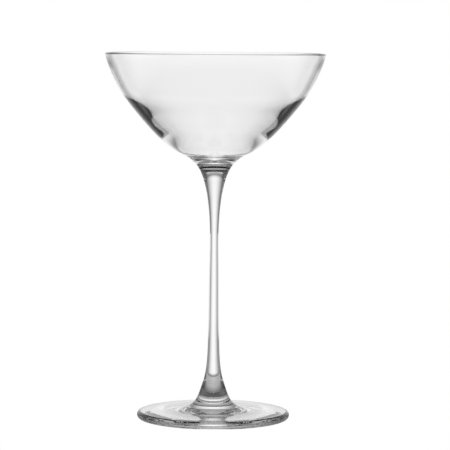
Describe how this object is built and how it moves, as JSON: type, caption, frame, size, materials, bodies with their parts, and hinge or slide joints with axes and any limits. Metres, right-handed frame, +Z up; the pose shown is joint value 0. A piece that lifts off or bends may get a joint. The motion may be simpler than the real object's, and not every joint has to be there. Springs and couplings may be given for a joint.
{
  "type": "martini glass",
  "caption": "Clear stemmed cocktail glass: a wide round-sided bowl on a thin drawn solid stem that flares at both ends, standing on a flat round foot.",
  "frame": {"origin": "centre of the plane that the foot rests on", "axes": "+Z up along the stem to the bowl's lip; the glass is round about Z, so X and Y are free"},
  "size_m": [0.105, 0.105, 0.175],
  "materials": {
    "clear_glass": "fire-polished clear soda-lime glass"
  },
  "bodies": {
    "root": {"bowl": "clear_glass", "stem": "clear_glass", "foot": "clear_glass"}
  },
  "joints": []
}
